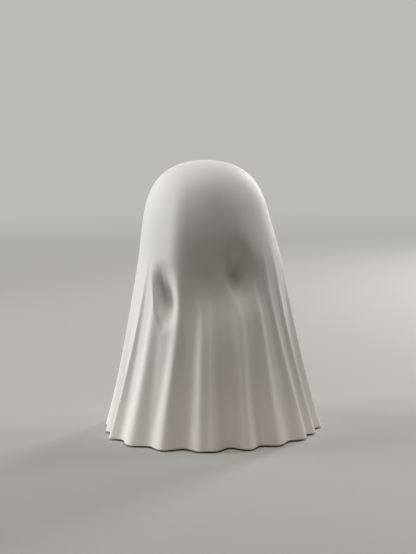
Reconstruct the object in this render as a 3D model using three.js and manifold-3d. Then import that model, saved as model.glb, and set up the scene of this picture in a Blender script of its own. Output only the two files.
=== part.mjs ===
// Ghost figurine: a hollow cast shell in the shape of a sheet hanging over a head.
// A cover glued inside the hem closes it, and four rubber feet under the cover carry it.
// Millimetres, +Z up. The origin is on the table under the middle of the hem; the face looks along -Y.
import * as THREE from "three";
import { mergeVertices } from "three/addons/utils/BufferGeometryUtils.js";
import Module from "manifold-3d";

const { clamp, degToRad, lerp, smoothstep } = THREE.MathUtils;

// Overall form, measured over the crests of the folds
const HEIGHT = 178;
const CROWN_BASE = 87; // the crown rounds in above this height
const CROWN_BASE_RADIUS = 52.2;
const FLARE = 0.195; // radius gained per millimetre on the way down
const HEM_FLARE = 3.6; // what the sheet spreads beyond that straight cone at the table
const HEM_CURVE = 3; // power by which that spread gathers towards the hem
const CROWN_FULLNESS = 8.8; // power of the crown's curve: 2 is an ellipse, more is squarer
const LEAN = 4.9; // how far the crown stands off the middle of the hem
const LEAN_AZIMUTH = -81; // the way it leans, in degrees from the face towards +X
const STEADY_LEAN = 0.6; // share of the lean that grows evenly from the table
const NECK_FROM = 105; // the rest of the lean comes between these two heights
const NECK_TO = 150;

// Shell
const WALL = 3.4;
const HEM_LIFT = 1; // the hem clears the table by this much
const HEM_EDGE = 2.4; // thickness of the hem's lower edge
const LEDGE_WIDTH = 2.6; // step inside the shell that the cover seats against

// Cover and feet
const COVER_DEPTH = 2; // the cover's underside lies this far above the hem's edge
const COVER_THICKNESS = 3;
const VENT_RADIUS = 6;
const FOOT_RADIUS = 8;
const FOOT_COUNT = 4;
const FOOT_POCKET = 1; // how deep each foot sits in the cover
const FOOT_EDGE = 1; // rounding of the foot's lower edge
const FOOT_INSET = 5; // from the cover's rim to the foot
const CLEARANCE = 0.3;

// Folds, in order round the hem. Each has the azimuth of its crest at the hem in degrees from the
// face towards +X, how far the crest turns on its way up, how far it sways again near its top, how
// far it reaches out at the hem, the depth of the valley that follows it, the height at which that
// valley starts, and the share of the way to the next crest at which the valley is deepest.
const FOLDS = [
  { crest: -68, turn: -2, sway: 0, reach: 0.8, valley: 5.5, start: 122, deepest: 0.5 },
  { crest: -52, turn: 3.5, sway: 0, reach: 5, valley: 5.2, start: 124, deepest: 0.38 },
  { crest: -35.3, turn: 0.8, sway: -2, reach: 5.8, valley: 5.6, start: 116, deepest: 0.32 },
  { crest: -17, turn: 3, sway: -5, reach: 4.6, valley: 7, start: 108, deepest: 0.5 },
  { crest: 2, turn: 0.5, sway: -15.5, reach: 1.9, valley: 1, start: 138, deepest: 0.5 },
  { crest: 8.5, turn: 0, sway: -8, reach: 1, valley: 6.4, start: 142, deepest: 0.38 },
  { crest: 26.5, turn: 3, sway: -8, reach: 0.3, valley: 5, start: 120, deepest: 0.5 },
  { crest: 44.5, turn: 1.5, sway: 0, reach: -0.9, valley: 6, start: 134, deepest: 0.5 },
  { crest: 64.5, turn: -6, sway: 0, reach: -0.5, valley: 6, start: 136, deepest: 0.5 },
  { crest: 78, turn: -7, sway: 0, reach: -1.5, valley: 5.5, start: 130, deepest: 0.5 },
  { crest: 94, turn: -3, sway: 0, reach: -0.6, valley: 6, start: 120, deepest: 0.5 },
  { crest: 112, turn: 3, sway: 2, reach: 0.5, valley: 7, start: 116, deepest: 0.55 },
  { crest: 131, turn: 2, sway: -3, reach: 1.5, valley: 6, start: 122, deepest: 0.45 },
  { crest: 149, turn: -3, sway: 0, reach: 2.5, valley: 7.4, start: 118, deepest: 0.5 },
  { crest: 168, turn: 3, sway: 4, reach: 2, valley: 6.4, start: 110, deepest: 0.55 },
  { crest: 186, turn: -2, sway: 0, reach: 1.5, valley: 7.2, start: 121, deepest: 0.5 },
  { crest: 205, turn: 3, sway: -2, reach: 0.5, valley: 6, start: 126, deepest: 0.45 },
  { crest: 223, turn: 4, sway: 0, reach: 1, valley: 7.2, start: 117, deepest: 0.5 },
  { crest: 242, turn: -2, sway: 3, reach: 1.5, valley: 6.2, start: 112, deepest: 0.5 },
  { crest: 259, turn: 3, sway: 0, reach: 0.8, valley: 7, start: 120, deepest: 0.5 },
  { crest: 276, turn: 2, sway: 0, reach: 0.2, valley: 6, start: 118, deepest: 0.5 },
];
const TURN_FROM = 10; // crests turn between these two heights
const TURN_TO = 95;
const SWAY_FROM = 80; // and sway between these
const SWAY_TO = 125;
const REACH_TO = 118; // the uneven reach of the hem has died out at this height
const FOLD_EASE = 0.12; // how gently a valley starts, as a share of its height
const RIDGE_SHARPNESS = 1.2; // crests narrow by this power between the hem and the height below
const SHARP_FROM = 70;

// Round hollows in the face, each an oval with its long axis tilted: the one that reads as an eye,
// the broad face between the eyes, and, raised instead of hollow, the soft edge beside the face
const HOLLOWS = [
  { azimuth: 35.5, height: 99, halfWidth: 10, halfLength: 22, tilt: 4, depth: 8 },
  { azimuth: 14, height: 108, halfWidth: 26, halfLength: 27, tilt: 0, depth: 5 },
  { azimuth: -17, height: 124, halfWidth: 13, halfLength: 40, tilt: 0, depth: -2.4 },
];
const HOLLOW_EDGE = 1.7; // how quickly a hollow fades towards its outline
const MM_PER_DEGREE = 0.9; // arc length of one degree at the height of the face

// Pocket that reads as the other eye. A crease runs down to the crest of a fold; behind it the
// sheet drops, and it rises again on the way to that crest.
const POCKET = {
  fold: 3, // index of the fold whose crest the crease runs to
  depth: 7,
  from: 119, // it deepens down between these two heights
  full: 93,
  foot: 92, // and ends between these two
  end: 71,
  width: 9, // where it is narrower than this it is shallower too
  floor: 0.15, // share of its width that stays deep
};
const CREASE = {
  top: { azimuth: -37, height: 107 },
  foot: { azimuth: -20, height: 77 },
  bow: 1.5, // how many degrees its middle bends out of a straight line
  width: 3.6, // run over which the sheet drops where the crease is sharp
  topWidth: 9, // and at the crease's top, where it is soft
  sharpAt: 0.5, // share of its length that it takes to sharpen
};

// Mesh density
const COLUMNS_PER_FOLD = 8;
const OUTER_RINGS = { skirt: 7, face: 10, crown: 6 };
const INNER_RINGS = { skirt: 2, face: 6, crown: 3 };
const FACE_FROM = 70; // the rings lie closer together between this height
const FACE_RISE = 0.43; // and this share of the way up the crown
const ROUND_SEGMENTS = 28;
const EDGE_STEPS = 3; // curve steps on the foot's rounded edge
const OVERSHOOT = 1; // how far a cutter passes the face that it starts from

const COLUMNS = COLUMNS_PER_FOLD * FOLDS.length;

// Radius over the crests of a sheet with the given crown height and radius at the crown's base
function crestRadius(z, crown, base) {
  const up = clamp((z - CROWN_BASE) / (crown - CROWN_BASE), 0, 1);
  const down = clamp(1 - z / CROWN_BASE, 0, 1);
  const cone = base - FLARE * (z - CROWN_BASE) + HEM_FLARE * down ** HEM_CURVE;
  return cone * Math.sqrt(1 - up ** CROWN_FULLNESS);
}

function crestAzimuth(index, z) {
  const lap = Math.floor(index / FOLDS.length);
  const fold = FOLDS[index - lap * FOLDS.length];
  const turn = fold.turn * smoothstep(z, TURN_FROM, TURN_TO);
  return fold.crest + 360 * lap + turn + fold.sway * smoothstep(z, SWAY_FROM, SWAY_TO);
}

// Depth of a valley against its height: full at the hem, easing in where the fold starts
function foldStrength(z, start) {
  const down = clamp(1 - z / start, 0, 1);
  return ((1 + FOLD_EASE) * down * down) / (down + FOLD_EASE);
}

// Depth of the round hollows in the face. Inside the shell they are wider, so that the wall holds
// its thickness on their slopes, and the raised edge is narrower.
function hollowDepth(azimuth, z, skin) {
  return HOLLOWS.reduce((sum, hollow) => {
    const across = (azimuth - hollow.azimuth) * MM_PER_DEGREE;
    const up = z - hollow.height;
    const tilt = degToRad(hollow.tilt);
    const wider = skin * Math.sign(hollow.depth);
    const a = (across * Math.cos(tilt) + up * Math.sin(tilt)) / (hollow.halfWidth + wider);
    const b = (up * Math.cos(tilt) - across * Math.sin(tilt)) / (hollow.halfLength + wider);
    return sum + hollow.depth * Math.exp(-HOLLOW_EDGE * (a * a + b * b));
  }, 0);
}

// Depth of the pocket. Inside the shell it is wider by a wall on either side, and its crease is softer.
function pocketDepth(azimuth, z, skin) {
  const { top, foot: toe } = CREASE;
  const down = clamp((top.height - z) / (top.height - toe.height), 0, 1);
  const crease = lerp(top.azimuth, toe.azimuth, down) - CREASE.bow * 4 * down * (1 - down);
  const across = (azimuth - crease) * MM_PER_DEGREE;
  const width = (crestAzimuth(POCKET.fold, z) - crease) * MM_PER_DEGREE;
  const edge = lerp(CREASE.topWidth, CREASE.width, smoothstep(down, 0, CREASE.sharpAt)) + skin;
  const drop = smoothstep(across + skin, -edge / 2, edge / 2);
  const rise = 1 - smoothstep((across - skin) / width, POCKET.floor, 1);
  const reach = (1 - smoothstep(z, POCKET.full, POCKET.from)) * smoothstep(z, POCKET.end, POCKET.foot);
  return POCKET.depth * drop * rise * reach * clamp(width / POCKET.width, 0, 1);
}

// A point of the sheet. skin is 0 on the outer face and the wall's thickness on the inner one.
function sheetPoint(column, z, skin = 0) {
  const index = Math.floor(column / COLUMNS_PER_FOLD);
  const share = (column % COLUMNS_PER_FOLD) / COLUMNS_PER_FOLD;
  const fold = FOLDS[index % FOLDS.length];
  const next = FOLDS[(index + 1) % FOLDS.length];
  const azimuth = lerp(crestAzimuth(index, z), crestAzimuth(index + 1, z), share);
  const overCrests = crestRadius(z, HEIGHT - skin, CROWN_BASE_RADIUS - skin);
  const crown = clamp(overCrests / (CROWN_BASE_RADIUS - skin), 0, 1);
  const reach = lerp(fold.reach, next.reach, smoothstep(share, 0, 1)) * clamp(1 - z / REACH_TO, 0, 1);
  const sharpness = 1 + RIDGE_SHARPNESS * smoothstep(z, 0, SHARP_FROM);
  const place = share ** (Math.log(0.5) / Math.log(fold.deepest));
  const valley = 1 - Math.abs(Math.cos(Math.PI * place)) ** (2 * sharpness);
  const folded = fold.valley * foldStrength(z, fold.start) * valley;
  const dent = folded + hollowDepth(azimuth, z, skin) + pocketDepth(azimuth, z, skin);
  return onSheet(azimuth, z, overCrests + reach - dent * crown);
}

// A point at a radius from the leaning middle line of the sheet
function onSheet(azimuth, z, radius) {
  const neck = smoothstep(z, NECK_FROM, NECK_TO);
  const lean = LEAN * lerp(neck, z / HEIGHT, STEADY_LEAN);
  const away = degToRad(LEAN_AZIMUTH);
  const turn = degToRad(azimuth);
  return new THREE.Vector3(
    lean * Math.sin(away) + radius * Math.sin(turn),
    -lean * Math.cos(away) - radius * Math.cos(turn),
    z,
  );
}

function ring(z, skin = 0) {
  return Array.from({ length: COLUMNS }, (_, column) => sheetPoint(column, z, skin));
}

// One closed skin from rings of equal length, closed at both ends by a single point. Each patch
// between two rings is split along its shorter diagonal, which follows creases and folds.
function closedSkin(first, rings, last) {
  const points = [first, ...rings.flat(), last];
  const size = rings[0].length;
  const at = (level, column) => 1 + level * size + (column % size);
  const faces = [];
  for (let column = 0; column < size; column += 1) {
    faces.push(0, at(0, column + 1), at(0, column));
    for (let level = 0; level < rings.length - 1; level += 1) {
      const [a, b] = [at(level, column), at(level, column + 1)];
      const [c, d] = [at(level + 1, column), at(level + 1, column + 1)];
      const rising = points[a].distanceTo(points[d]) < points[b].distanceTo(points[c]);
      faces.push(...(rising ? [a, b, d, a, d, c] : [a, b, c, b, d, c]));
    }
    const top = rings.length - 1;
    faces.push(points.length - 1, at(top, column), at(top, column + 1));
  }
  const geometry = new THREE.BufferGeometry().setFromPoints(points);
  geometry.setIndex(faces);
  return geometry;
}

const wasm = await Module();
wasm.setup();

function toSolid(geometry) {
  const bare = geometry.clone();
  bare.deleteAttribute("normal");
  bare.deleteAttribute("uv");
  const merged = mergeVertices(bare, 1e-4);
  return new wasm.Manifold(
    new wasm.Mesh({
      numProp: 3,
      vertProperties: merged.attributes.position.array,
      triVerts: new Uint32Array(merged.index.array),
    }),
  );
}

function cut(body, ...tools) {
  const solid = tools.reduce((rest, tool) => rest.subtract(toSolid(tool)), toSolid(body));
  const mesh = solid.getMesh();
  const geometry = new THREE.BufferGeometry();
  geometry.setAttribute("position", new THREE.BufferAttribute(mesh.vertProperties, 3));
  geometry.setIndex(new THREE.BufferAttribute(mesh.triVerts, 1));
  return geometry;
}

// A cylinder standing on z, with its axis at x, y
function standingCylinder(radius, height, x, y, z) {
  const geometry = new THREE.CylinderGeometry(radius, radius, height, ROUND_SEGMENTS);
  return geometry.rotateX(Math.PI / 2).translate(x, y, z + height / 2);
}

const coverBottom = HEM_LIFT + COVER_DEPTH;
const coverTop = coverBottom + COVER_THICKNESS;
const ledgeBottom = coverTop + CLEARANCE;
// Above the ledge the inner face rises upright until it meets the tapering wall
const ledgeTop = ledgeBottom + LEDGE_WIDTH / FLARE;

// Heights of rings from low to just short of high, closest together over the face and at the crown
function ringHeights(low, high, count) {
  const faceTop = lerp(CROWN_BASE, HEIGHT, FACE_RISE);
  const heights = [];
  for (let i = 0; i < count.skirt; i += 1) heights.push(lerp(low, FACE_FROM, i / count.skirt));
  for (let i = 0; i < count.face; i += 1) heights.push(lerp(FACE_FROM, faceTop, i / count.face));
  for (let i = 0; i < count.crown; i += 1) {
    const up = Math.sin((Math.PI / 2) * (i / count.crown));
    heights.push(lerp(faceTop, high, up));
  }
  return heights;
}

// Hollow shell, from the inner crown down the inner face, under the hem and up the outer face
function drapedShell() {
  const innerCrown = HEIGHT - WALL;
  const rings = ringHeights(ledgeTop, innerCrown, INNER_RINGS).map((z) => ring(z, WALL)).reverse();
  rings.push(ring(ledgeBottom, WALL + LEDGE_WIDTH));
  rings.push(ring(ledgeBottom, WALL));
  rings.push(ring(HEM_LIFT, HEM_EDGE));
  rings.push(...ringHeights(HEM_LIFT, HEIGHT, OUTER_RINGS).map((z) => ring(z)));
  return closedSkin(onSheet(0, innerCrown, 0), rings, onSheet(0, HEIGHT, 0));
}

// Cover that fits inside the hem, with a pocket for each foot and a vent in the middle
function coverRim(z) {
  return ring(z, WALL + CLEARANCE);
}

function footCentres() {
  const rim = Math.min(...coverRim(coverTop).map((point) => Math.hypot(point.x, point.y)));
  const circle = rim - FOOT_INSET - FOOT_RADIUS;
  return Array.from({ length: FOOT_COUNT }, (_, index) => {
    const angle = (2 * Math.PI * (index + 0.5)) / FOOT_COUNT;
    return new THREE.Vector2(circle * Math.cos(angle), circle * Math.sin(angle));
  });
}

function baseCover() {
  const plate = closedSkin(
    new THREE.Vector3(0, 0, coverBottom),
    [coverRim(coverBottom), coverRim(coverTop)],
    new THREE.Vector3(0, 0, coverTop),
  );
  const start = coverBottom - OVERSHOOT;
  const vent = standingCylinder(VENT_RADIUS, COVER_THICKNESS + 2 * OVERSHOOT, 0, 0, start);
  const pockets = footCentres().map((centre) =>
    standingCylinder(FOOT_RADIUS + CLEARANCE, FOOT_POCKET + OVERSHOOT, centre.x, centre.y, start),
  );
  return cut(plate, vent, ...pockets);
}

// Round rubber foot, standing on the table, with a rounded lower edge
function foot() {
  const height = coverBottom + FOOT_POCKET - CLEARANCE;
  const profile = new THREE.Path();
  profile.moveTo(0, 0);
  profile.lineTo(FOOT_RADIUS - FOOT_EDGE, 0);
  profile.absarc(FOOT_RADIUS - FOOT_EDGE, FOOT_EDGE, FOOT_EDGE, -Math.PI / 2, 0, false);
  profile.lineTo(FOOT_RADIUS, height);
  profile.lineTo(0, height);
  const outline = profile.getPoints(EDGE_STEPS);
  return new THREE.LatheGeometry(outline, ROUND_SEGMENTS).rotateX(Math.PI / 2);
}

function material(color, roughness) {
  return new THREE.MeshStandardMaterial({ color, roughness, metalness: 0 });
}

function named(name, geometry, finish) {
  const mesh = new THREE.Mesh(geometry, finish);
  mesh.name = name;
  return mesh;
}

const figurine = new THREE.Group();
figurine.add(named("draped_shell", drapedShell(), material(0xece9e4, 0.6)));
figurine.add(named("base_cover", baseCover(), material(0xd8d4cc, 0.8)));
footCentres().forEach((centre, index) => {
  const rubberFoot = named(`foot_${index + 1}`, foot(), material(0x3a3a3c, 0.85));
  rubberFoot.position.set(centre.x, centre.y, 0);
  figurine.add(rubberFoot);
});

export default figurine;
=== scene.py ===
import math

import bmesh
import bpy
import numpy as np
from mathutils import Matrix, Vector


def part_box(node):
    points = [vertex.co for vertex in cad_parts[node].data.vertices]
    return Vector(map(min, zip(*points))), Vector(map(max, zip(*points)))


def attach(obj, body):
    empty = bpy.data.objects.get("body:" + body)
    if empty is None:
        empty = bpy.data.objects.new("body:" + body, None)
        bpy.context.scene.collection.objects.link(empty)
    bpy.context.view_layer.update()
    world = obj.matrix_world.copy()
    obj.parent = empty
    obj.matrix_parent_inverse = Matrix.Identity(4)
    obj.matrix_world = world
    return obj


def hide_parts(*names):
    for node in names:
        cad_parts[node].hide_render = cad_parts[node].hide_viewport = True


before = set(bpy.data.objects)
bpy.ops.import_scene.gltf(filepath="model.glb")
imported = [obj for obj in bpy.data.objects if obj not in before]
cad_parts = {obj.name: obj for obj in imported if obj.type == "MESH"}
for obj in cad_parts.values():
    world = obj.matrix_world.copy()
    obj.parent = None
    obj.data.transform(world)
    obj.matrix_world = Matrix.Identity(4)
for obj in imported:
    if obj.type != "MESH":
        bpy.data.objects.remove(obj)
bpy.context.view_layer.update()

shell_low, shell_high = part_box("draped_shell")
cover_low, cover_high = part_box("base_cover")
FEET = [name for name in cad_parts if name.startswith("foot_")]

MM = 0.001

# Overall form, measured over the crests of the folds
HEIGHT = shell_high.z / MM
HEM_LIFT = shell_low.z / MM
CROWN_BASE = 87
CROWN_BASE_RADIUS = 52.2
FLARE = 0.195
HEM_FLARE = 3.6
HEM_CURVE = 3
CROWN_FULLNESS = 8.8
LEAN = 4.9
LEAN_AZIMUTH = -81
STEADY_LEAN = 0.6
NECK_FROM = 105
NECK_TO = 150

# Shell: a ledge inside it carries the cover, and under the ledge its wall thins to a band at the hem
WALL = 3.4
HEM_EDGE = 2.4
HEM_BAND = 1
HEM_ROUNDING = 0.7
LEDGE_WIDTH = 2.6
LEDGE_ROUNDING = 0.35
LEDGE_ROOT = 0.2
LEDGE_RING = 2  # height over the ledge of a ring that keeps the slope above it straight
CLEARANCE = 0.3

# Cover and feet
COVER_ROUNDING = 0.4
VENT_RADIUS = 6
FOOT_RADIUS = 8
FOOT_POCKET = 1
FOOT_EDGE = 1
FOOT_RIM_WIDTH = 1.5
FOOT_DISH = 0.3
SHARP_ANGLE = 40

# Folds in order round the hem: azimuth of the crest at the hem, turn on the way up, sway near its top,
# reach at the hem, depth of the valley that follows, height at which that valley starts, and the share
# of the way to the next crest at which it is deepest
FOLDS = [
    (-68, -2, 0, 0.8, 5.5, 122, 0.5),
    (-52, 3.5, 0, 5, 5.2, 124, 0.38),
    (-35.3, 0.8, -2, 5.8, 5.2, 116, 0.5),
    (-17, 3, -3, 4.6, 7, 112, 0.5),
    (2, 0.5, -15.5, 1.9, 0.4, 112, 0.5),
    (8.5, 0, -8, 1, 8.8, 108, 0.5),
    (26.5, 3, -8, 0.3, 6.2, 108, 0.5),
    (44.5, 1.5, 0, -0.9, 4.4, 130, 0.5),
    (64.5, -6, 0, -0.5, 4.6, 134, 0.5),
    (78, -7, 0, -1.5, 5.5, 130, 0.5),
    (94, -3, 0, -0.6, 6, 120, 0.5),
    (112, 3, 2, 0.5, 7, 116, 0.55),
    (131, 2, -3, 1.5, 6, 122, 0.45),
    (149, -3, 0, 2.5, 7.4, 118, 0.5),
    (168, 3, 4, 2, 6.4, 110, 0.55),
    (186, -2, 0, 1.5, 7.2, 121, 0.5),
    (205, 3, -2, 0.5, 6, 126, 0.45),
    (223, 4, 0, 1, 7.2, 117, 0.5),
    (242, -2, 3, 1.5, 6.2, 112, 0.5),
    (259, 3, 0, 0.8, 7, 120, 0.5),
    (276, 2, 0, 0.2, 6, 118, 0.5),
]
TURN_FROM = 10
TURN_TO = 95
SWAY_FROM = 80
SWAY_TO = 125
REACH_TO = 118
FOLD_EASE = 0.12
RIDGE_SHARPNESS = 1.2
SHARP_FROM = 70

# Round hollows in the face: azimuth, height, half width, half length, tilt in degrees, depth. The first
# reads as an eye and lies in the wider second, the third is the broad face between the eyes, and the last
# swells out beside it.
HOLLOWS = [
    (33.5, 107.5, 10.5, 20, 4, 9),
    (43, 104, 16, 22, 0, 4),
    (10, 101, 27, 34, 0, 9.2),
    (-17, 124, 13, 40, 0, -2.4),
]
HOLLOW_EDGE = 1.7
MM_PER_DEGREE = 0.9

# Pocket that reads as the other eye. Its crease runs down to the crest of a fold, and the sheet drops
# behind the crease and rises slowly to that crest.
POCKET_FOLD = 3
POCKET_DEPTH = 8.5
POCKET_FROM = 119
POCKET_TO = 93
POCKET_FOOT = 92
POCKET_END = 71
POCKET_WIDTH = 9
POCKET_FLOOR = 0.35
CREASE_TOP = (-38, 107)
CREASE_FOOT = (-27, 75)
CREASE_BOW = 2.4
CREASE_WIDTH = 1.4
CREASE_TOP_WIDTH = 9
CREASE_SHARP_AT = 0.5

# Mesh density
COLUMNS_PER_FOLD = 24
RING_SPACING = 1
INNER_SPACING = 3
PROFILE_SAMPLES = 4000
ARC_STEPS = 5
ROUND_SEGMENTS = 96

CREST, TURN, SWAY, REACH, VALLEY, START, DEEPEST = (np.array(column, float) for column in zip(*FOLDS))
COLUMNS = COLUMNS_PER_FOLD * len(FOLDS)


def smoothstep(value, low, high):
    share = np.clip((value - low) / (high - low), 0, 1)
    return share * share * (3 - 2 * share)


def lerp(a, b, share):
    return a + (b - a) * share


def crest_radius(z, crown, base):
    """Radius over the crests of a sheet with that crown height and radius at the crown's base."""
    up = np.clip((z - CROWN_BASE) / (crown - CROWN_BASE), 0, 1)
    down = np.clip(1 - z / CROWN_BASE, 0, 1)
    cone = base - FLARE * (z - CROWN_BASE) + HEM_FLARE * down ** HEM_CURVE
    return cone * np.sqrt(1 - up ** CROWN_FULLNESS)


def crest_azimuth(index, z):
    lap, fold = index // len(FOLDS), index % len(FOLDS)
    turn = TURN[fold] * smoothstep(z, TURN_FROM, TURN_TO)
    return CREST[fold] + 360 * lap + turn + SWAY[fold] * smoothstep(z, SWAY_FROM, SWAY_TO)


def fold_strength(z, start):
    """Depth of a valley against its height: full at the hem, easing in where the fold starts."""
    down = np.clip(1 - z / start, 0, 1)
    return (1 + FOLD_EASE) * down * down / (down + FOLD_EASE)


def hollow_depth(azimuth, z, skin):
    """Depth of the round hollows in the face. Inside the shell they are wider, as its wall is even."""
    total = 0
    for centre, height, half_width, half_length, tilt, depth in HOLLOWS:
        across = (azimuth - centre) * MM_PER_DEGREE
        up = z - height
        angle = math.radians(tilt)
        wider = math.copysign(skin, depth)
        a = (across * math.cos(angle) + up * math.sin(angle)) / (half_width + wider)
        b = (up * math.cos(angle) - across * math.sin(angle)) / (half_length + wider)
        total = total + depth * np.exp(-HOLLOW_EDGE * (a * a + b * b))
    return total


def pocket_depth(azimuth, z, skin):
    """Depth of the pocket. Inside the shell it is wider by a wall on either side, its crease softer."""
    down = np.clip((CREASE_TOP[1] - z) / (CREASE_TOP[1] - CREASE_FOOT[1]), 0, 1)
    crease = lerp(CREASE_TOP[0], CREASE_FOOT[0], down) - CREASE_BOW * 4 * down * (1 - down)
    across = (azimuth - crease) * MM_PER_DEGREE
    width = (crest_azimuth(POCKET_FOLD, z) - crease) * MM_PER_DEGREE
    edge = lerp(CREASE_TOP_WIDTH, CREASE_WIDTH, smoothstep(down, 0, CREASE_SHARP_AT)) + skin
    drop = smoothstep(across + skin, -edge / 2, edge / 2)
    rise = 1 - smoothstep((across - skin) / width, POCKET_FLOOR, 1)
    reach = (1 - smoothstep(z, POCKET_TO, POCKET_FROM)) * smoothstep(z, POCKET_END, POCKET_FOOT)
    return POCKET_DEPTH * drop * rise * reach * np.clip(width / POCKET_WIDTH, 0, 1)


def on_sheet(azimuth, z, radius):
    """Points at a radius from the leaning middle line of the sheet."""
    neck = smoothstep(z, NECK_FROM, NECK_TO)
    lean = LEAN * lerp(neck, z / HEIGHT, STEADY_LEAN)
    away = math.radians(LEAN_AZIMUTH)
    turn = np.radians(azimuth)
    x = lean * math.sin(away) + radius * np.sin(turn)
    y = -lean * math.cos(away) - radius * np.cos(turn)
    return np.stack([x, y, z + 0 * x], axis=-1)


def sheet_ring(z, skin):
    """One ring that far under the sheet's face, and how deep in a valley each point lies, from 0 to 1."""
    column = np.arange(COLUMNS)
    index = column // COLUMNS_PER_FOLD
    share = (column % COLUMNS_PER_FOLD) / COLUMNS_PER_FOLD
    following = (index + 1) % len(FOLDS)
    azimuth = lerp(crest_azimuth(index, z), crest_azimuth(index + 1, z), share)
    over_crests = crest_radius(z, HEIGHT - skin, CROWN_BASE_RADIUS - skin)
    crown = np.clip(over_crests / (CROWN_BASE_RADIUS - skin), 0, 1)
    reach = lerp(REACH[index], REACH[following], smoothstep(share, 0, 1)) * np.clip(1 - z / REACH_TO, 0, 1)
    sharpness = 1 + RIDGE_SHARPNESS * smoothstep(z, 0, SHARP_FROM)
    place = share ** (math.log(0.5) / np.log(DEEPEST[index]))
    valley = 1 - np.abs(np.cos(np.pi * place)) ** (2 * sharpness)
    strength = fold_strength(z, START[index])
    dent = VALLEY[index] * strength * valley
    dent = dent + hollow_depth(azimuth, z, skin) + pocket_depth(azimuth, z, skin)
    points = on_sheet(azimuth, z, over_crests + reach - dent * crown)
    return points, np.clip(dent * crown / VALLEY.max(), 0, 1)


def profile_heights(low, high, spacing, skin):
    """Heights of rings that lie evenly along the sheet's profile, the last one just short of the top."""
    z = low + (high - low) * np.sin(np.linspace(0, math.pi / 2, PROFILE_SAMPLES))
    radius = crest_radius(z, HEIGHT - skin, CROWN_BASE_RADIUS - skin)
    run = np.concatenate([[0], np.cumsum(np.hypot(np.diff(z), np.diff(radius)))])
    count = int(run[-1] / spacing)
    return np.interp(np.linspace(0, run[-1], count + 1)[:-1], run, z)


def mesh_object(name, vertices, faces):
    mesh = bpy.data.meshes.new(name)
    mesh.from_pydata((np.asarray(vertices) * MM).tolist(), [], faces)
    mesh.validate()
    mesh.shade_smooth()
    piece = bpy.data.objects.new(name, mesh)
    bpy.context.scene.collection.objects.link(piece)
    return piece


def arc(centre_a, centre_b, radius, from_degrees, to_degrees):
    """Points on an arc in a plane of two lengths."""
    angles = np.radians(np.linspace(from_degrees, to_degrees, ARC_STEPS + 1))
    return [(centre_a + radius * math.cos(t), centre_b + radius * math.sin(t)) for t in angles]


# Shell
def shell_section():
    """Each ring's depth under the sheet's face and its height, down the inside and up the outside."""
    ledge = cover_high.z / MM + CLEARANCE
    ledge_height = LEDGE_WIDTH / FLARE
    ledge_skin = WALL + LEDGE_WIDTH
    hem = HEM_LIFT + HEM_ROUNDING
    inside = profile_heights(ledge + ledge_height, HEIGHT - WALL, INNER_SPACING, WALL)
    outside = profile_heights(hem, HEIGHT, RING_SPACING, 0)
    section = [(WALL, z) for z in inside[::-1]]
    section += [(lerp(ledge_skin, WALL, LEDGE_RING / ledge_height), ledge + LEDGE_RING)]
    section += arc(ledge_skin - LEDGE_ROUNDING, ledge + LEDGE_ROUNDING, LEDGE_ROUNDING, 0, -90)
    section += [(WALL + LEDGE_ROOT, ledge), (WALL, ledge - LEDGE_ROOT)]
    section += [(HEM_EDGE, HEM_LIFT + HEM_BAND)]
    section += arc(HEM_EDGE - HEM_ROUNDING, hem, HEM_ROUNDING, 0, -90)
    section += arc(HEM_ROUNDING, hem, HEM_ROUNDING, -90, -180)
    section += [(0, z) for z in outside[1:]]
    return section


def draped_shell():
    """Closed skin over all the rings, which keeps how deep in a valley each point lies."""
    rings = [sheet_ring(z, skin) for skin, z in shell_section()]
    inner_top = on_sheet(0, HEIGHT - WALL, 0).reshape(1, 3)
    outer_top = on_sheet(0, HEIGHT, 0).reshape(1, 3)
    points = np.concatenate([inner_top] + [ring for ring, _ in rings] + [outer_top])
    depth = np.concatenate([[0]] + [valley for _, valley in rings] + [[0]])
    last = len(points) - 1
    faces = []
    for column in range(COLUMNS):
        beside = (column + 1) % COLUMNS
        faces.append((0, 1 + beside, 1 + column))
        for level in range(len(rings) - 1):
            low, high = 1 + level * COLUMNS, 1 + (level + 1) * COLUMNS
            faces.append((low + column, low + beside, high + beside, high + column))
        top = 1 + (len(rings) - 1) * COLUMNS
        faces.append((last, top + column, top + beside))
    shell = mesh_object("shell", points, faces)
    valley = shell.data.attributes.new("valley", "FLOAT", "POINT")
    valley.data.foreach_set("value", depth.astype(np.float32))
    return shell


# Cover and feet
def add_loop(bm, points):
    vertices = [bm.verts.new(point) for point in points]
    for start, end in zip(vertices, vertices[1:] + vertices[:1]):
        bm.edges.new((start, end))
    return vertices


def add_band(bm, loops):
    """Quads between loops of equal length, one after the other."""
    for low_loop, high_loop in zip(loops, loops[1:]):
        for i in range(len(low_loop)):
            j = (i + 1) % len(low_loop)
            bm.faces.new((low_loop[i], low_loop[j], high_loop[j], high_loop[i]))


def add_plane(bm, *loops):
    """Flat face inside the first loop and round the others."""
    edges = [bm.edges.get((a, b)) for loop in loops for a, b in zip(loop, loop[1:] + loop[:1])]
    bmesh.ops.triangle_fill(bm, use_beauty=True, edges=edges)


def circle(x, y, z, radius):
    angles = np.linspace(0, 2 * math.pi, ROUND_SEGMENTS, endpoint=False)
    return [(x + radius * math.cos(t), y + radius * math.sin(t), z) for t in angles]


def finished(bm, name):
    """Closes a bmesh in millimetres into a piece with its faces out and its sharp edges kept."""
    bmesh.ops.recalc_face_normals(bm, faces=bm.faces)
    bmesh.ops.scale(bm, vec=(MM, MM, MM), verts=bm.verts)
    mesh = bpy.data.meshes.new(name)
    bm.to_mesh(mesh)
    bm.free()
    mesh.shade_smooth()
    mesh.set_sharp_from_angle(angle=math.radians(SHARP_ANGLE))
    piece = bpy.data.objects.new(name, mesh)
    bpy.context.scene.collection.objects.link(piece)
    return piece


def foot_centre(name):
    low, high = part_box(name)
    return (low.x + high.x) / 2 / MM, (low.y + high.y) / 2 / MM


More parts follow.
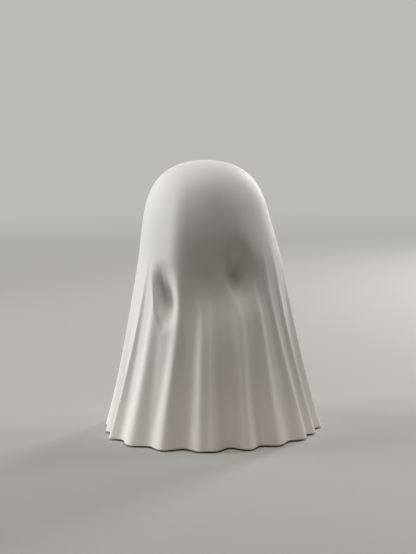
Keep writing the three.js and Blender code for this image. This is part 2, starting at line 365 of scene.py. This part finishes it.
def cover_edge(side, bottom, top):
    """Upright side of the cover's rim or vent with rounded edges, as lengths and heights."""
    r = COVER_ROUNDING
    return arc(side + r, bottom + r, r, -90, -180) + arc(side + r, top - r, r, 180, 90)


def base_cover():
    """Plate that follows the folds inside the hem, with a vent and a pocket for each foot."""
    bottom, top = cover_low.z / MM, cover_high.z / MM
    bm = bmesh.new()
    rims = [add_loop(bm, sheet_ring(z, skin)[0]) for skin, z in cover_edge(WALL + CLEARANCE, bottom, top)]
    add_band(bm, rims)
    vents = [add_loop(bm, circle(0, 0, z, radius)) for radius, z in cover_edge(VENT_RADIUS, bottom, top)]
    add_band(bm, vents)
    pockets = []
    wall = FOOT_RADIUS + CLEARANCE
    r = COVER_ROUNDING
    for name in FEET:
        x, y = foot_centre(name)
        sides = arc(wall + r, bottom + r, r, -90, -180) + [(wall, bottom + FOOT_POCKET)]
        loops = [add_loop(bm, circle(x, y, z, radius)) for radius, z in sides]
        add_band(bm, loops)
        add_plane(bm, loops[-1])
        pockets.append(loops[0])
    add_plane(bm, rims[0], vents[0], *pockets)
    add_plane(bm, rims[-1], vents[-1])
    return finished(bm, "cover")


def foot(name):
    """Round rubber foot with a soft lower edge, hollowed a little underneath so that its rim stands."""
    x, y = foot_centre(name)
    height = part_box(name)[1].z / MM
    rim = FOOT_RADIUS - FOOT_EDGE
    top_edge = FOOT_EDGE / 2
    profile = [(rim - FOOT_RIM_WIDTH - FOOT_DISH, FOOT_DISH), (rim - FOOT_RIM_WIDTH, 0)]
    profile += arc(rim, FOOT_EDGE, FOOT_EDGE, -90, 0)
    profile += arc(FOOT_RADIUS - top_edge, height - top_edge, top_edge, 0, 90)
    bm = bmesh.new()
    loops = [add_loop(bm, circle(x, y, z, radius)) for radius, z in profile]
    add_band(bm, loops)
    add_plane(bm, loops[0])
    add_plane(bm, loops[-1])
    return finished(bm, "rubber_" + name)


# Nodes
def noise(tree, size_mm, detail=3, roughness=0.5):
    """Noise whose cells are about that many millimetres across, in the object's own space."""
    place = tree.nodes.new("ShaderNodeTexCoord")
    texture = tree.nodes.new("ShaderNodeTexNoise")
    texture.inputs["Scale"].default_value = 1 / (size_mm * MM)
    texture.inputs["Detail"].default_value = detail
    texture.inputs["Roughness"].default_value = roughness
    tree.links.new(place.outputs["Object"], texture.inputs["Vector"])
    return texture.outputs["Fac"]


def between(tree, value, low, high):
    """A number socket's 0 to 1 spread over low to high."""
    spread = tree.nodes.new("ShaderNodeMapRange")
    spread.inputs["To Min"].default_value = low
    spread.inputs["To Max"].default_value = high
    tree.links.new(value, spread.inputs["Value"])
    return spread.outputs["Result"]


def eased(tree, value, low, high):
    """A number socket as a smooth share, 0 at low and 1 at high."""
    ease = tree.nodes.new("ShaderNodeMapRange")
    ease.interpolation_type = "SMOOTHSTEP"
    ease.inputs["From Min"].default_value = low
    ease.inputs["From Max"].default_value = high
    tree.links.new(value, ease.inputs["Value"])
    return ease.outputs["Result"]


def calculated(tree, operation, first, second):
    result = tree.nodes.new("ShaderNodeMath")
    result.operation = operation
    tree.links.new(first, result.inputs[0])
    tree.links.new(second, result.inputs[1])
    return result.outputs["Value"]


def mixed(tree, share, first, second):
    """Colour that goes from the first to the second, each a tuple or a socket."""
    mix = tree.nodes.new("ShaderNodeMix")
    mix.data_type = "RGBA"
    tree.links.new(share, mix.inputs["Factor"])
    for socket, colour in ((mix.inputs["A"], first), (mix.inputs["B"], second)):
        if isinstance(colour, tuple):
            socket.default_value = (*colour, 1)
        else:
            tree.links.new(colour, socket)
    return mix.outputs["Result"]


def mixed_shader(tree, share, first, second):
    blend = tree.nodes.new("ShaderNodeMixShader")
    tree.links.new(share, blend.inputs["Fac"])
    tree.links.new(first, blend.inputs[1])
    tree.links.new(second, blend.inputs[2])
    return blend.outputs["Shader"]


def bumped(tree, shader, grains):
    """Bumps one on another, each of noise with its size in mm, detail, roughness, depth in mm and strength."""
    normal = None
    for size_mm, detail, roughness, depth_mm, strength in grains:
        bump = tree.nodes.new("ShaderNodeBump")
        bump.inputs["Distance"].default_value = depth_mm * MM
        bump.inputs["Strength"].default_value = strength
        tree.links.new(noise(tree, size_mm, detail, roughness), bump.inputs["Height"])
        if normal:
            tree.links.new(normal, bump.inputs["Normal"])
        normal = bump.outputs["Normal"]
    tree.links.new(normal, shader.inputs["Normal"])


# Materials
def new_material(name):
    material = bpy.data.materials.new(name)
    material.use_nodes = True
    tree = material.node_tree
    return material, tree, tree.nodes["Principled BSDF"]


def mottled(name, tones, tone_size, roughness, roughness_size, grains):
    """Material whose colour and roughness drift between two values, with bumps."""
    material, tree, shader = new_material(name)
    colour = mixed(tree, noise(tree, tone_size), *tones)
    tree.links.new(colour, shader.inputs["Base Color"])
    tree.links.new(between(tree, noise(tree, roughness_size), *roughness), shader.inputs["Roughness"])
    bumped(tree, shader, grains)
    return material


# Painted shade: a darker tone mixed into the fold valleys, more of it where a valley is deeper
VALLEY_SHADE = (0.74, 0.71, 0.67)
VALLEY_SHADE_SHARE = 0.35


def cast_white():
    """Matt white casting: faint clouds in the colour, painted shade that darkens the fold valleys, fine skin.
    """
    material = mottled(
        "cast_white", tones=((0.80, 0.785, 0.76), (0.87, 0.86, 0.84)), tone_size=28,
        roughness=(0.55, 0.7), roughness_size=7,
        grains=[(9, 2, 0.5, 0.25, 0.35), (0.7, 4, 0.6, 0.03, 0.5)])
    tree = material.node_tree
    colour = tree.nodes["Principled BSDF"].inputs["Base Color"]
    clouds = colour.links[0].from_socket
    # Painted shade in the valleys, led by how deep in a valley each point lies
    valley = tree.nodes.new("ShaderNodeAttribute")
    valley.attribute_name = "valley"
    painted_shade = between(tree, valley.outputs["Fac"], 0, VALLEY_SHADE_SHARE)
    tree.links.new(mixed(tree, painted_shade, clouds, VALLEY_SHADE), colour)
    return material


def moulded_offwhite():
    return mottled(
        "moulded_offwhite", tones=((0.64, 0.62, 0.58), (0.72, 0.70, 0.66)), tone_size=12,
        roughness=(0.5, 0.7), roughness_size=3,
        grains=[(0.9, 4, 0.6, 0.06, 0.6)])


def black_rubber():
    return mottled(
        "black_rubber", tones=((0.045, 0.045, 0.048), (0.09, 0.088, 0.086)), tone_size=4,
        roughness=(0.65, 0.9), roughness_size=1.5,
        grains=[(0.5, 3, 0.5, 0.05, 0.5)])


# Floor and backdrop, in metres. The floor fades into the backdrop between two distances from the figurine.
#  The colour it casts back on the figurine is painted light: a near tone close by and a far tone further out,
#  between two other distances, a painted pool of light round the figurine.
BACKDROP = (0.50, 0.49, 0.47)
FLOOR_SHOWN = (0.42, 0.41, 0.395)
FLOOR_MOTTLE = 0.96
FLOOR_GRAIN = 40
FLOOR_DETAIL = 4
FLOOR_ROUGHNESS = 0.8
FLOOR_RADIUS = 4
FADE_FROM = 0.35
FADE_TO = 1.5
PAINTED_BOUNCE_NEAR = (0.62, 0.56, 0.49)
PAINTED_BOUNCE_FAR = (0.12, 0.12, 0.12)
PAINTED_BOUNCE_FROM = 0.12
PAINTED_BOUNCE_TO = 0.30


def background_share(tree):
    """1 for rays that show the background, 0 for those that carry its light to the figurine."""
    path = tree.nodes.new("ShaderNodeLightPath")
    seen = calculated(tree, "MAXIMUM", path.outputs["Is Camera Ray"], path.outputs["Is Glossy Ray"])
    return calculated(tree, "MAXIMUM", seen, path.outputs["Is Transmission Ray"])


def fading_floor():
    """Pale floor with the figurine's shadow near the middle, one with the backdrop further out."""
    material, tree, shader = new_material("pale_floor")
    shader.inputs["Roughness"].default_value = FLOOR_ROUGHNESS
    shown = background_share(tree)
    place = tree.nodes.new("ShaderNodeTexCoord")
    distance = tree.nodes.new("ShaderNodeVectorMath")
    distance.operation = "LENGTH"
    tree.links.new(place.outputs["Object"], distance.inputs[0])
    darker = tuple(FLOOR_MOTTLE * part for part in FLOOR_SHOWN)
    near = mixed(tree, noise(tree, FLOOR_GRAIN, FLOOR_DETAIL), FLOOR_SHOWN, darker)
    # Painted light: what the floor casts back on the figurine is brighter close by than further out
    cast = mixed(tree, eased(tree, distance.outputs["Value"], PAINTED_BOUNCE_FROM, PAINTED_BOUNCE_TO), PAINTED_BOUNCE_NEAR, PAINTED_BOUNCE_FAR)
    tree.links.new(mixed(tree, shown, cast, near), shader.inputs["Base Color"])
    far = calculated(tree, "MULTIPLY", eased(tree, distance.outputs["Value"], FADE_FROM, FADE_TO), shown)
    backdrop = tree.nodes.new("ShaderNodeEmission")
    backdrop.inputs["Color"].default_value = (*BACKDROP, 1)
    blend = mixed_shader(tree, far, shader.outputs["BSDF"], backdrop.outputs["Emission"])
    tree.links.new(blend, tree.nodes["Material Output"].inputs["Surface"])
    return material


def floor():
    bm = bmesh.new()
    bmesh.ops.create_circle(bm, cap_ends=True, segments=ROUND_SEGMENTS, radius=FLOOR_RADIUS / MM)
    disc = finished(bm, "floor")
    disc.data.materials.append(fading_floor())


# Lights: name, watts, size in metres, azimuth from the face towards +X, elevation, distance in metres
# and colour
LAMPS = [
    ("key", 5.4, (0.7, 0.7), -96, 16, 1.1, (0.97, 0.985, 1)),
    ("side", 4.2, (0.7, 0.7), -83, 22, 1.1, (1, 1, 1)),
    ("rim", 6, (0.2, 0.6), 158, 20, 1.1, (1, 1, 1)),
    ("right", 3.2, (0.4, 0.6), 122, 30, 1.1, (1, 1, 1)),
    ("top", 26, (1, 1), 2, 82, 2.4, (1, 0.95, 0.9)),
]
FILL = (0.95, 0.97, 1)
FILL_STRENGTH = 0.01


def area_light(name, power, size, azimuth, elevation, distance, colour):
    """A soft box that looks at the middle of the figurine."""
    light = bpy.data.lights.new(name, "AREA")
    light.shape = "RECTANGLE"
    light.size, light.size_y = size
    light.energy = power
    light.color = colour
    lamp = bpy.data.objects.new(name, light)
    a, e = math.radians(azimuth), math.radians(elevation)
    target = Vector((0, 0, HEIGHT * MM / 2))
    away = Vector((math.sin(a) * math.cos(e), -math.cos(a) * math.cos(e), math.sin(e)))
    lamp.location = target + away * distance
    lamp.rotation_euler = away.to_track_quat("Z", "Y").to_euler()
    bpy.context.scene.collection.objects.link(lamp)


def studio():
    """Faint light from all round, the backdrop where the world is seen, and the lamps."""
    world = bpy.data.worlds.new("studio")
    bpy.context.scene.world = world
    world.use_nodes = True
    tree = world.node_tree
    fill = tree.nodes["Background"]
    fill.inputs["Color"].default_value = (*FILL, 1)
    fill.inputs["Strength"].default_value = FILL_STRENGTH
    backdrop = tree.nodes.new("ShaderNodeBackground")
    backdrop.inputs["Color"].default_value = (*BACKDROP, 1)
    lit, seen = fill.outputs["Background"], backdrop.outputs["Background"]
    blend = mixed_shader(tree, background_share(tree), lit, seen)
    tree.links.new(blend, tree.nodes["World Output"].inputs["Surface"])
    for lamp in LAMPS:
        area_light(*lamp)


# Camera: place in metres, turn about the upright axis, slope down and roll in degrees, lens in millimetres
CAMERA_PLACE = (0.1548, -1.0238, 0.2448)
CAMERA_TURN = 8.78
CAMERA_SLOPE = 7.92
CAMERA_ROLL = -0.34
CAMERA_LENS = 102.9
CAMERA_SENSOR = 36


def camera():
    data = bpy.data.cameras.new("camera")
    data.lens = CAMERA_LENS
    data.sensor_width = CAMERA_SENSOR
    view = bpy.data.objects.new("camera", data)
    turn = Matrix.Rotation(math.radians(CAMERA_TURN), 4, "Z")
    slope = Matrix.Rotation(math.radians(90 - CAMERA_SLOPE), 4, "X")
    roll = Matrix.Rotation(math.radians(CAMERA_ROLL), 4, "Z")
    view.matrix_world = Matrix.Translation(CAMERA_PLACE) @ turn @ slope @ roll
    bpy.context.scene.collection.objects.link(view)
    bpy.context.scene.camera = view


def dress(piece, material, slot, *nodes):
    """Gives a piece its finish and lets it stand for its solids."""
    piece.data.materials.append(material)
    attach(piece, "root")
    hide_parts(*nodes)


bpy.context.scene.view_settings.view_transform = "Standard"
camera()
studio()
floor()
dress(draped_shell(), cast_white(), "shell_matt_white", "draped_shell")
dress(base_cover(), moulded_offwhite(), "cover_offwhite", "base_cover")
rubber = black_rubber()
for foot_name in FEET:
    dress(foot(foot_name), rubber, "foot_rubber", foot_name)
